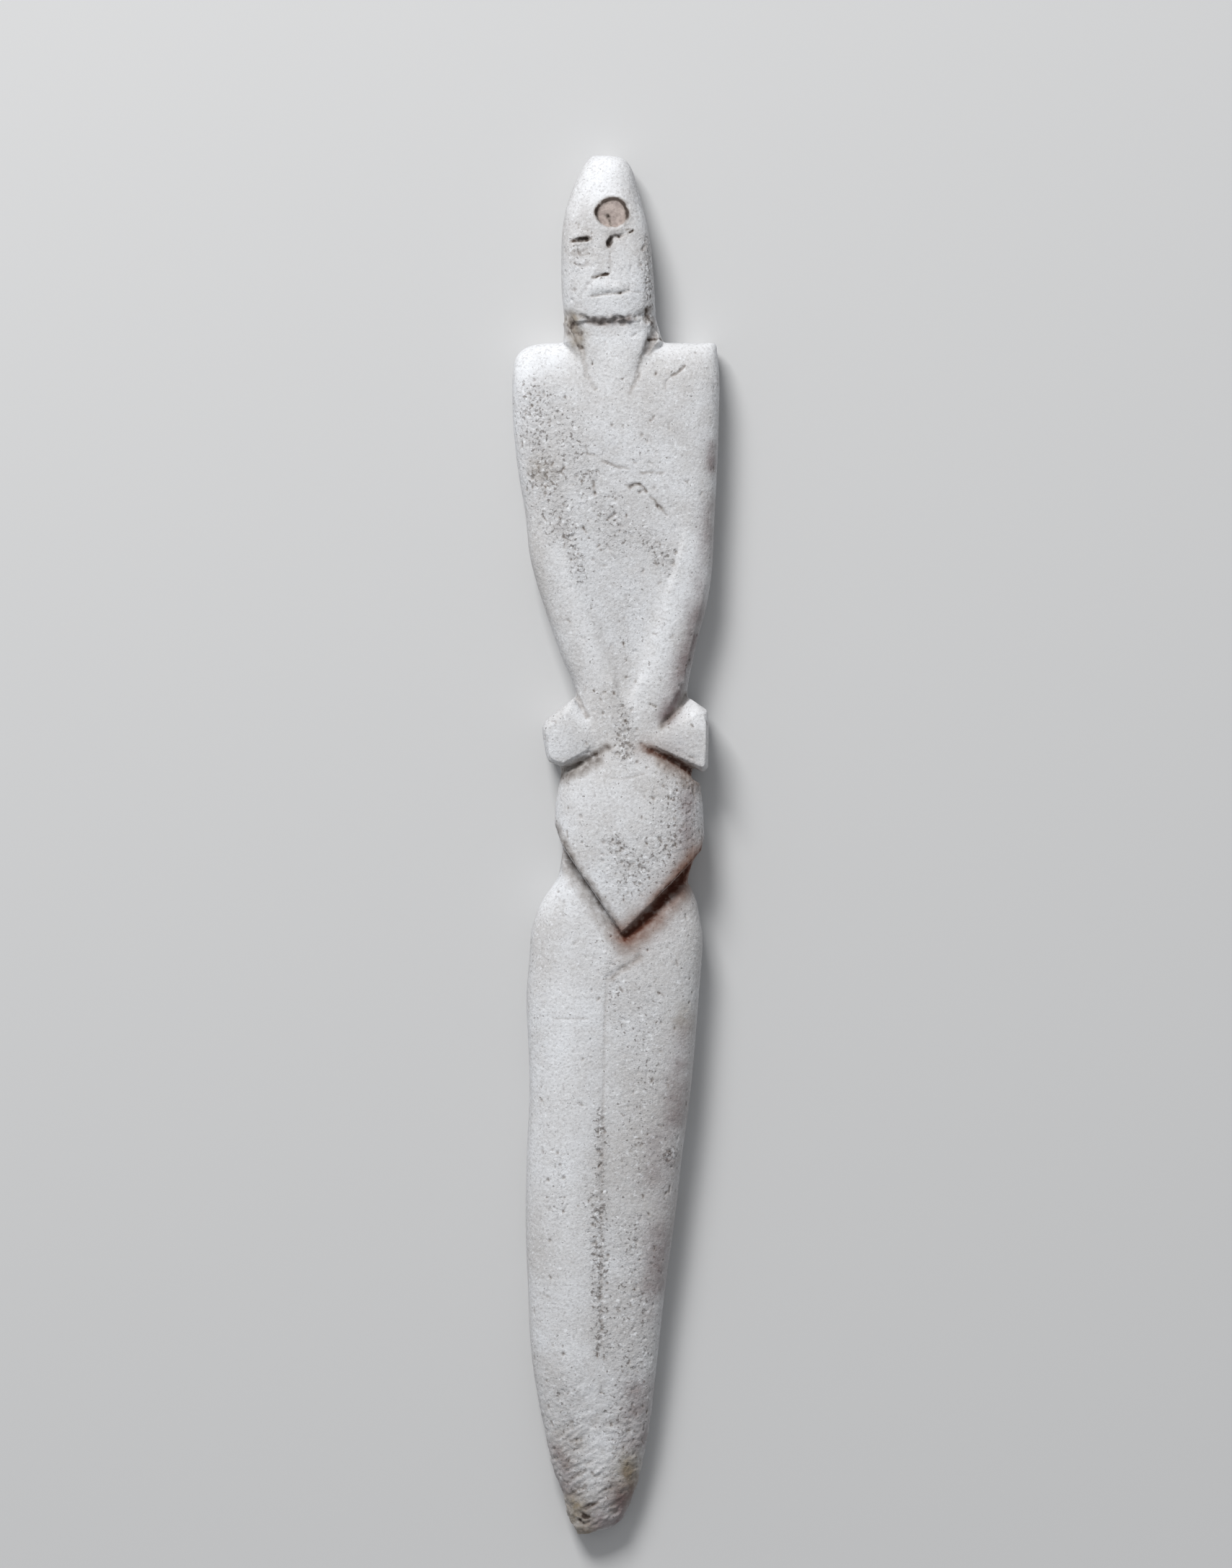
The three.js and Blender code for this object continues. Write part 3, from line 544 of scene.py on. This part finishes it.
# %% Map the places where the bone is porous
porous_patches = [
    (traced((897, 335), (900, 440)), 0.9, 0.8),
    (traced((800, 345), (800, 375)), 1.4, 0.6),
    (traced((738, 550), (745, 600), (755, 670), (785, 740)), 3.0, 0.75),
    (traced((760, 560), (800, 640), (830, 700), (860, 740)), 3.6, 0.6),
    (traced((748, 650), (765, 665)), 2.0, 0.95),
    (traced((775, 730), (795, 775), (800, 800)), 1.6, 0.8),
    (traced((895, 745), (930, 780)), 2.0, 0.7),
    (traced((870, 800), (865, 900)), 3.0, 0.35),
    (traced((868, 985), (866, 1045)), 1.8, 0.9),
    (traced((945, 1090), (935, 1160), (880, 1210)), 4.2, 0.7),
    (traced((852, 1165), (868, 1205)), 1.6, 0.8),
    (traced((845, 1345), (862, 1420)), 1.6, 0.6),
    (traced((880, 1380), (895, 1500), (885, 1640)), 4.0, 0.5),
    (traced((834, 1540), (832, 1640)), 1.0, 0.8),
    (traced((775, 1600), (775, 1690)), 1.0, 0.7),
    (traced((928, 1602)), 1.3, 1.2),
    (traced((830, 1660), (830, 1780), (834, 1870)), 1.5, 0.9),
    (traced((880, 1700), (875, 1900), (850, 2060)), 3.8, 0.6),
    (traced((785, 1900), (790, 2000)), 2.0, 0.4),
    (traced((780, 1920), (800, 2060)), 3.0, 0.5),
]
usual_pores = 0.2
pore_change = 0.12
closed_share = 0.7
on_back = np.clip(-normals[:, 2], 0, 1)
porous = np.maximum(usual_pores + pore_change * ripple(6, octaves=2, shift=3.0), spread(porous_patches))
porous *= (1 - closed_share * on_back) * (1 - closed_share * pale_and_highlight)
print("porous share", (porous > 0.4).mean().round(3))

# %% Open the pores
pore_contrast = 1.5
short_bias = 3
narrowest_share = 0.6
shallowest_share = 0.4
usual_turn = 0.8
edge_shake = 0.1
most_pore_soil = 0.85
point_tree = kdtree.KDTree(len(points))
for index, place in enumerate(points):
    point_tree.insert(place, index)
point_tree.balance()


def open_pores(draws, longest, widest, deepest, seed):
    """Turns randomly drawn points into short nicks, where the bone is porous enough."""
    chance = random.Random(seed)
    for centre in chance.choices(range(len(points)), k=draws):
        if chance.random() > porous[centre] ** pore_contrast:
            continue
        radius = widest / 2 * chance.uniform(narrowest_share, 1)
        half_length = longest / 2 * chance.random() ** short_bias
        turn = chance.gauss(0, usual_turn)
        lean = np.array((math.sin(turn), math.cos(turn), 0))
        found = point_tree.find_range(points[centre], radius + half_length)
        near = np.array([index for _, index, _ in found])
        offset = points[near] - points[centre]
        offset -= np.clip(offset @ lean, -half_length, half_length)[:, None] * lean
        distance = np.linalg.norm(offset, axis=1) + edge_shake * crumble[near]
        share = np.clip(1 - distance / radius, 0, 1)
        sunk = deepest * chance.uniform(shallowest_share, 1) * share
        depth[near] = np.maximum(depth[near], sunk)
        soil_and_shade[near] = np.maximum(soil_and_shade[near], most_pore_soil * chance.random() * share)


open_pores(draws=10000, longest=0.8, widest=0.46, deepest=0.2, seed=3)
print("points in pores", int((depth > 0.03).sum()))

# %% [markdown]
# ## The worn surface and the broken foot
# Hand scraping leaves long low waves, and weathering adds a fine chalky grain. The lowest part of the
# legs is rougher, with slanting ridges, and ends in a broken edge with dark hollows. The back isn't
# seen in the photograph: it is left ground flat, as on the solid, with only the material's grain.

# %% Add waves, grain and the foot's ridges
half_figure = 84
wave_depth = 0.07
smooth_grain = 0.02
porous_grain = 0.08
foot_grain = 0.06
ridge_depth = 0.26
ridge_turn = math.radians(32)
ridge_soil = 0.8
foot_start, foot_end = traced((834, 1880), (834, 2126))[:, 1]
towards_foot = np.clip((foot_start - points[:, 1]) / (foot_start - foot_end), 0, 1)
below_belly = np.clip(-points[:, 1] / half_figure, 0, 1)
front = 1 - on_back
waves = ripple(7, octaves=2, shift=2.0, stretch=(0.7, 1.6, 1))
grain = ripple(0.5, octaves=2, shift=5.0)
ridges = ripple(0.85, octaves=3, shift=9.0, stretch=(1.8, 0.65, 1), turn=ridge_turn)

depth += front * wave_depth * waves
depth += front * (smooth_grain + porous_grain * porous + foot_grain * towards_foot) * grain
depth += front * ridge_depth * towards_foot * (1 + 0.8 * waves) * ridges
soil_and_shade = np.maximum(soil_and_shade, ridge_soil * towards_foot * np.clip(ridges - 0.1, 0, 1))
print("the foot's ridges begin at y", foot_start.round(1), "mm")

# %% Cut the hollows and cracks of the foot
foot_hollows = [
    traced((813, 2089), (821, 2087), (828, 2084)),
    traced((805, 2099), (811, 2104), (817, 2103)),
    traced((803, 2108), (808, 2112)),
]
foot_cracks = [
    traced((786, 2056), (797, 2048), (812, 2039)),
    traced((795, 2068), (812, 2060)),
    traced((785, 2076), (797, 2070)),
    traced((808, 2126), (808, 2115)),
]
for line in foot_hollows:
    stroke(line, width=0.7, cut=0.25, dirt_and_shade=1.0, shake=0.3)
for line in foot_cracks:
    stroke(line, width=0.5, cut=0.1, dirt_and_shade=0.5, shake=0.4)
print("deepest", depth.max().round(2), "mm, highest", -depth.min().round(2), "mm")

# %% [markdown]
# ## Putting the record into the mesh
# The points move in along their normals, by the depths that were recorded. The soil and the stains go
# with the mesh as attributes, one number for each point, which the material reads by name; in places
# they carry painted shadow and painted highlights as well. A Decimate modifier then thins the mesh,
# where it is flattest first, to keep it under 200,000 triangles. That leaves long thin triangles on the
# back. They would look like slits if they weren't quite level, so the back is set to zero height and
# shaded flat.

# %% Sink the points
straight_down = 0.99
most_recorded = 1.3
surface = points - normals * depth[:, None]
surface[:, :2] += uneven_wall
flat_back = (on_back > straight_down) & (points[:, 2] < voxel)
surface[:, 2] = np.where(flat_back, 0, np.maximum(surface[:, 2], 0))
idol.data.vertices.foreach_set("co", surface.ravel())
idol.data.update()


def record(name, values):
    """Keeps one number for each point of the mesh, under a name."""
    attribute = idol.data.attributes.new(name, "FLOAT", "POINT")
    attribute.data.foreach_set("value", np.clip(values, 0, most_recorded).astype(np.float32))


record("soil_and_shade", soil_and_shade)
record("spongy", porous)
print("the mesh has", len(points), "points")

# %% Record where the colour is greyer: down the legs, more towards the foot, and in a few patches
grey_legs = 0.6
grey_foot = 0.5
grey_shades = [
    (traced((856, 246), (868, 256), (878, 274)), 1.5, 1.3),
    (traced((804, 304), (820, 316)), 1.6, 1.3),
    (traced((850, 350), (862, 385)), 1.8, 0.5),
    (traced((905, 600), (960, 620)), 3.0, 0.5),
    (traced((860, 640), (900, 700)), 4.0, 0.6),
    (traced((850, 730), (860, 900)), 3.5, 0.6),
]
greyer = grey_legs * below_belly + grey_foot * towards_foot + spread(grey_shades)
record("greyer", greyer)
print("greyer share", (greyer > 0.5).mean().round(3))

# %% [markdown]
# ## Stains
# The bone is a cool grey white, with a few ochre stains from the neck to the foot, and plum-brown ones
# under the chin, on the foot and down the right flank. Down the right flank the plum-brown is partly
# painted shade, as that side turns away from the light. Both fade down the sides. Soil in the trough at
# the right of the belly's point is rusty, and partly painted shadow cast by the belly's edge. What stands
# out most, such as the crown, the shoulders and the forearms, is rubbed and bleached paler, and partly
# painted highlight. The socket has a flat tan floor. All of these are soft bands at measured places, so
# they are recorded on the points. The material breaks up their edges with noise.

# %% Map the stains, and the painted shade down the right flank
faint_height = 0.8
fading_height = 2.5
faintest = 0.2
down_the_flank = np.clip((points[:, 2] - faint_height) / fading_height, faintest, 1)
clouds = np.clip(0.85 + 0.7 * ripple(3.2, octaves=2, shift=6.0), 0.4, 1)
blotches = down_the_flank * clouds
ochre = blotches * spread([
    (traced((792, 448), (798, 462), (803, 478)), 1.3, 1.3),
    (traced((748, 648), (758, 664)), 1.2, 0.6),
    (traced((920, 1055), (955, 1070)), 1.2, 0.6),
    (traced((770, 1066), (800, 1062)), 1.0, 0.6),
    (traced((945, 1410)), 1.8, 0.6),
    (traced((778, 1990), (786, 2030)), 0.9, 0.6),
    (traced((800, 2000)), 1.0, 0.4),
    (traced((872, 2034), (866, 2074)), 1.7, 1.3),
    (traced((794, 2092), (801, 2110), (808, 2122)), 1.7, 1.8),
])
# Down the right flank these plum bands are partly painted shade, where that side turns from the light
plum_and_flank_shade = blotches * spread([
    (traced((820, 446), (838, 449), (872, 444)), 0.5, 0.9),
    (traced((987, 618), (986, 650)), 0.7, 0.8),
    (traced((982, 700), (976, 780), (966, 840)), 1.1, 0.5),
    (traced((966, 840), (954, 900), (938, 955), (922, 992)), 1.2, 0.9),
    (traced((936, 960), (922, 992)), 1.1, 1.5),
    (traced((935, 1030)), 1.6, 0.4),
    (traced((955, 1100), (950, 1180)), 1.4, 0.6),
    (traced((948, 1430), (930, 1560), (905, 1820)), 1.6, 0.4),
    (traced((941, 1480), (934, 1550)), 1.5, 0.8),
    (traced((912, 1580), (908, 1640)), 1.6, 0.5),
    (traced((915, 1700), (908, 1780)), 1.7, 0.8),
    (traced((886, 1930), (880, 1990)), 1.8, 0.9),
    (traced((774, 2010), (786, 2058)), 1.4, 0.8),
    (traced((864, 2080), (856, 2104)), 2.4, 1.1),
    (traced((836, 2108), (852, 2112)), 1.8, 1.3),
])
print("stained share", (np.maximum(ochre, plum_and_flank_shade) > 0.3).mean().round(3))

# %% Record the stains, the rust with its painted shadow, and the socket's floor
# Rust on the bank right of the belly's point, with painted shadow of the belly's edge
shadowed_rust_bank = belly_right + bank * (1.2, -1.2)
rust_and_shadow = spread([(belly_right, 1.6, 1.3), (shadowed_rust_bank, 2.0, 0.9), (right_notch, 1.2, 0.7)])
floor_gap = 0.05
in_socket = (from_socket < socket_radius - floor_gap) & faces_up
for name, values in {"ochre": ochre, "plum_and_flank_shade": plum_and_flank_shade, "rust_and_shadow": rust_and_shadow, "pale_and_highlight": pale_and_highlight}.items():
    record(name, values)
record("socket_floor", in_socket)
print("rusty share", (rust_and_shadow > 0.3).mean().round(3))

# %% Thin the mesh and turn it back into metres
most_triangles = 196000
level_back = -0.9999
print("thinned from", 2 * len(idol.data.polygons), "triangles")
thinner = idol.modifiers.new("thinner", "DECIMATE")
thinner.ratio = most_triangles / (2 * len(idol.data.polygons))
apply_modifiers(idol)
triangles = bmesh.new()
triangles.from_mesh(idol.data)
bmesh.ops.triangulate(triangles, faces=triangles.faces)
bmesh.ops.scale(triangles, verts=triangles.verts, vec=(millimetre,) * 3)
for corner in triangles.verts:
    corner.co.z = max(corner.co.z, 0)
for triangle in triangles.faces:
    triangle.smooth = triangle.normal.z > level_back
triangles.to_mesh(idol.data)
triangles.free()
print("the idol has", len(idol.data.polygons), "triangles")

# %% [markdown]
# ## The bone material
# Old bone is matt and chalky. Its colour drifts between a cool white and a warmer grey in patches of a
# centimetre or so, with fine specks where the canals come to the surface. The recorded soil and stains
# are laid over that, each broken up by noise, and with them the painted shadows and highlights that
# they carry. All patterns read Object coordinates, in metres, so a noise scale of 100 makes patches
# about 10 mm across.

# %% Start the material
bone = bpy.data.materials.new("weathered_bone")
bone.use_nodes = True
tree = bone.node_tree
tree.nodes.clear()
output = tree.nodes.new("ShaderNodeOutputMaterial")
shader = tree.nodes.new("ShaderNodeBsdfPrincipled")
tree.links.new(shader.outputs["BSDF"], output.inputs["Surface"])
coordinates = tree.nodes.new("ShaderNodeTexCoord").outputs["Object"]
print("started", bone.name)

# %% Define small helpers for the material's nodes
def pattern(patches_per_metre, detail=3.0, roughness=0.55):
    """Noise with that many patches in a metre."""
    texture = tree.nodes.new("ShaderNodeTexNoise")
    texture.inputs["Scale"].default_value = patches_per_metre
    texture.inputs["Detail"].default_value = detail
    texture.inputs["Roughness"].default_value = roughness
    tree.links.new(coordinates, texture.inputs["Vector"])
    return texture.outputs["Fac"]


def between(value, low, high, start=0.0, end=1.0):
    """Spreads a value that runs from low to high over start to end, and holds it there beyond."""
    ramp = tree.nodes.new("ShaderNodeMapRange")
    limits = {"From Min": low, "From Max": high, "To Min": start, "To Max": end}
    for name, limit in limits.items():
        ramp.inputs[name].default_value = limit
    tree.links.new(value, ramp.inputs["Value"])
    return ramp.outputs["Result"]


def combined(operation, first, second):
    """Two values put together, where the second may be a plain number."""
    math_node = tree.nodes.new("ShaderNodeMath")
    math_node.operation = operation
    math_node.use_clamp = True
    tree.links.new(first, math_node.inputs[0])
    if isinstance(second, (int, float)):
        math_node.inputs[1].default_value = second
    else:
        tree.links.new(second, math_node.inputs[1])
    return math_node.outputs["Value"]


def laid_over(colour, coat, share):
    """A coat of one colour laid over a colour, as much as share says."""
    mixer = tree.nodes.new("ShaderNodeMix")
    mixer.data_type = "RGBA"
    tree.links.new(share, mixer.inputs["Factor"])
    for socket_name, source in (("A", colour), ("B", coat)):
        target = next(s for s in mixer.inputs if s.name == socket_name and s.type == "RGBA")
        if isinstance(source, tuple):
            target.default_value = (*source, 1.0)
        else:
            tree.links.new(source, target)
    return next(s for s in mixer.outputs if s.type == "RGBA")


def recorded(name):
    """The number that the mesh keeps under that name."""
    attribute = tree.nodes.new("ShaderNodeAttribute")
    attribute.attribute_name = name
    return attribute.outputs["Fac"]


# %% Colour the bone, and paint highlights where it is pale
cool_white = (0.68, 0.69, 0.71)
warm_grey = (0.5, 0.485, 0.475)
spongy_grey = (0.4, 0.385, 0.38)
speck_grey = (0.3, 0.285, 0.28)
pore_brown = (0.13, 0.11, 0.1)
bleached_and_highlight = (0.86, 0.875, 0.9)
patches = between(pattern(85, detail=4), low=0.38, high=0.66, end=0.8)
mottle = between(pattern(380, detail=4, roughness=0.6), low=0.42, high=0.68, end=0.5)
specks = between(pattern(3200, detail=3, roughness=0.6), low=0.5, high=0.7, end=0.5)
more_pores = combined("MULTIPLY", recorded("spongy"), 0.2)
more_crumbs = combined("MULTIPLY", recorded("spongy"), 0.16)
pore_field = combined("ADD", pattern(2300, detail=2, roughness=0.5), more_pores)
crumb_field = combined("ADD", pattern(1700, detail=2, roughness=0.5), more_crumbs)
pale_crumbs = between(crumb_field, low=0.66, high=0.8, end=0.6)
fine_pores = between(pore_field, low=0.68, high=0.8, end=0.8)
pale_dust = between(pattern(2300, detail=3, roughness=0.6), low=0.52, high=0.72, end=0.6)

colour = laid_over(cool_white, warm_grey, patches)
colour = laid_over(colour, warm_grey, mottle)
colour = laid_over(colour, spongy_grey, combined("MULTIPLY", recorded("greyer"), 0.35))
colour = laid_over(colour, spongy_grey, between(recorded("spongy"), low=0.3, high=1.1, end=0.5))
# Rubbed, bleached bone, with painted highlights on the crown, knob tops and edges
colour = laid_over(colour, bleached_and_highlight, between(recorded("pale_and_highlight"), low=0, high=1, end=0.5))
colour = laid_over(colour, bleached_and_highlight, pale_dust)
colour = laid_over(colour, bleached_and_highlight, pale_crumbs)
colour = laid_over(colour, speck_grey, specks)
colour = laid_over(colour, pore_brown, fine_pores)
print("bone between", cool_white, "and", warm_grey)

# %% Choose the colours of the stains and the soil, which also paint shadow in a few places
ochre_brown = (0.25, 0.205, 0.145)
plum_and_shade_brown = (0.17, 0.12, 0.12)
rust_and_shadow_brown = (0.22, 0.15, 0.125)
tan_deposit = (0.46, 0.38, 0.34)
tan_shade = (0.27, 0.21, 0.19)
thin_soil_and_shade = (0.23, 0.195, 0.17)
thin_rust_and_shadow = (0.22, 0.125, 0.09)
brown_soil_and_shade = (0.06, 0.044, 0.036)
rust_soil_and_shadow = (0.085, 0.024, 0.012)
stain_edges = between(pattern(420, detail=4, roughness=0.6), low=0.35, high=0.7)
soil_and_shade_edges = between(pattern(900, detail=3, roughness=0.6), low=0.25, high=0.6, start=0.55)
floor_mottle = between(pattern(1300, detail=4, roughness=0.7), low=0.4, high=0.65)
print("soil between", thin_soil_and_shade, "and", brown_soil_and_shade)

# %% Lay the stains and the soil over the bone, with the painted shade that they carry
ochre_edges = between(stain_edges, low=0, high=1, start=0.3)
plum_and_shade_edges = between(stain_edges, low=0, high=1, start=0.55)
rust_and_shadow_edges = between(stain_edges, low=0, high=1, start=0.45, end=0.95)
ochre_share = combined("MULTIPLY", recorded("ochre"), ochre_edges)
plum_and_shade_share = combined("MULTIPLY", recorded("plum_and_flank_shade"), plum_and_shade_edges)
rust_and_shadow_share = combined("MULTIPLY", recorded("rust_and_shadow"), rust_and_shadow_edges)
soil_and_shade_share = combined("MULTIPLY", recorded("soil_and_shade"), soil_and_shade_edges)
colour = laid_over(colour, ochre_brown, ochre_share)
# Plum stains, with painted shade down the right flank
colour = laid_over(colour, plum_and_shade_brown, plum_and_shade_share)
# Rust, with painted shadow beside the belly's point
colour = laid_over(colour, rust_and_shadow_brown, rust_and_shadow_share)
deposit = laid_over(tan_deposit, tan_shade, floor_mottle)
colour = laid_over(colour, deposit, combined("MULTIPLY", recorded("socket_floor"), 0.9))
thin_colour = laid_over(thin_soil_and_shade, thin_rust_and_shadow, recorded("rust_and_shadow"))
thick_colour = laid_over(brown_soil_and_shade, rust_soil_and_shadow, recorded("rust_and_shadow"))
soil_and_shade_colour = laid_over(thin_colour, thick_colour, between(soil_and_shade_share, low=0.25, high=0.8))
colour = laid_over(colour, soil_and_shade_colour, between(soil_and_shade_share, low=0, high=0.7))
tree.links.new(colour, shader.inputs["Base Color"])

# %% Give it a matt, grainy finish
grain_bump = tree.nodes.new("ShaderNodeBump")
grain_bump.inputs["Strength"].default_value = 0.9
grain_bump.inputs["Distance"].default_value = 0.00025
grain_here = combined("ADD", combined("MULTIPLY", recorded("spongy"), 0.7), 0.3)
grain_height = combined("MULTIPLY", pattern(2600, detail=3, roughness=0.6), grain_here)
tree.links.new(grain_height, grain_bump.inputs["Height"])
tree.links.new(grain_bump.outputs["Normal"], shader.inputs["Normal"])
tree.links.new(between(patches, low=0, high=1, start=0.72, end=0.9), shader.inputs["Roughness"])
shader.inputs["Specular IOR Level"].default_value = 0.35
idol.data.materials.clear()
idol.data.materials.append(bone)
print("the material has", len(tree.nodes), "nodes")

# %% [markdown]
# ## Floor, light and camera
# The idol lies on its back on a plain pale floor, and the camera looks straight down on it. The light
# comes from the upper left, beyond the head, as the bright crown and left edges in the photograph show,
# and a pale sky fills the shadows. A long lens keeps the view close to flat. Its distance follows from
# the height that the photograph's frame covers, at the level where the idol's outline is widest.

# %% Lay the floor
floor_half_size = 1.5
floor_grey = (0.6, 0.6, 0.6, 1)
floor = bpy.data.objects.new("floor", bpy.data.meshes.new("floor"))
bpy.context.scene.collection.objects.link(floor)
floor_form = bmesh.new()
bmesh.ops.create_grid(floor_form, x_segments=1, y_segments=1, size=floor_half_size)
floor_form.to_mesh(floor.data)
floor_form.free()
floor_finish = bpy.data.materials.new("pale_floor")
floor_finish.use_nodes = True
floor_shader = floor_finish.node_tree.nodes["Principled BSDF"]
floor_shader.inputs["Base Color"].default_value = floor_grey
floor_shader.inputs["Roughness"].default_value = 0.9
floor.data.materials.append(floor_finish)
print("the floor is", 2 * floor_half_size, "m wide")

# %% Set the lights
key_place = (-0.22, 0.56, 0.56)
key_aim = (0, 0.01, 0)
sky_white = (0.95, 0.97, 1.0, 1)
sky_strength = 0.37


def soft_light(name, place, aim, size, power):
    """A square area light that shines from a place towards an aim."""
    lamp = bpy.data.lights.new(name, "AREA")
    lamp.size = size
    lamp.energy = power
    lamp_object = bpy.data.objects.new(name, lamp)
    lamp_object.location = place
    lamp_object.rotation_euler = (Vector(aim) - Vector(place)).to_track_quat("-Z", "Y").to_euler()
    bpy.context.scene.collection.objects.link(lamp_object)


soft_light("key_light", key_place, key_aim, size=0.3, power=6.2)
sky = bpy.data.worlds.new("pale_sky")
sky.use_nodes = True
sky.node_tree.nodes["Background"].inputs["Color"].default_value = sky_white
sky.node_tree.nodes["Background"].inputs["Strength"].default_value = sky_strength
bpy.context.scene.world = sky
bpy.context.scene.view_settings.view_transform = "Standard"
print("the key light is at", key_place)

# %% Place the camera
lens = 500
sensor = 36
outline_height = 4.5 * millimetre
view_height = photo_height * pixel * millimetre
view_middle = traced((photo_width / 2, photo_height / 2))[0] * millimetre
camera_data = bpy.data.cameras.new("camera")
camera_data.lens = lens
camera_data.sensor_width = sensor
camera = bpy.data.objects.new("camera", camera_data)
camera.location = (*view_middle, outline_height + lens / sensor * view_height)
bpy.context.scene.collection.objects.link(camera)
bpy.context.scene.camera = camera
print("the camera is", round(camera.location.z, 3), "m above the floor")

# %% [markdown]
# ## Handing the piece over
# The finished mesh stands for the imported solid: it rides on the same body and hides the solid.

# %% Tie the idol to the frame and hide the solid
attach(idol, "root")
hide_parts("idol")
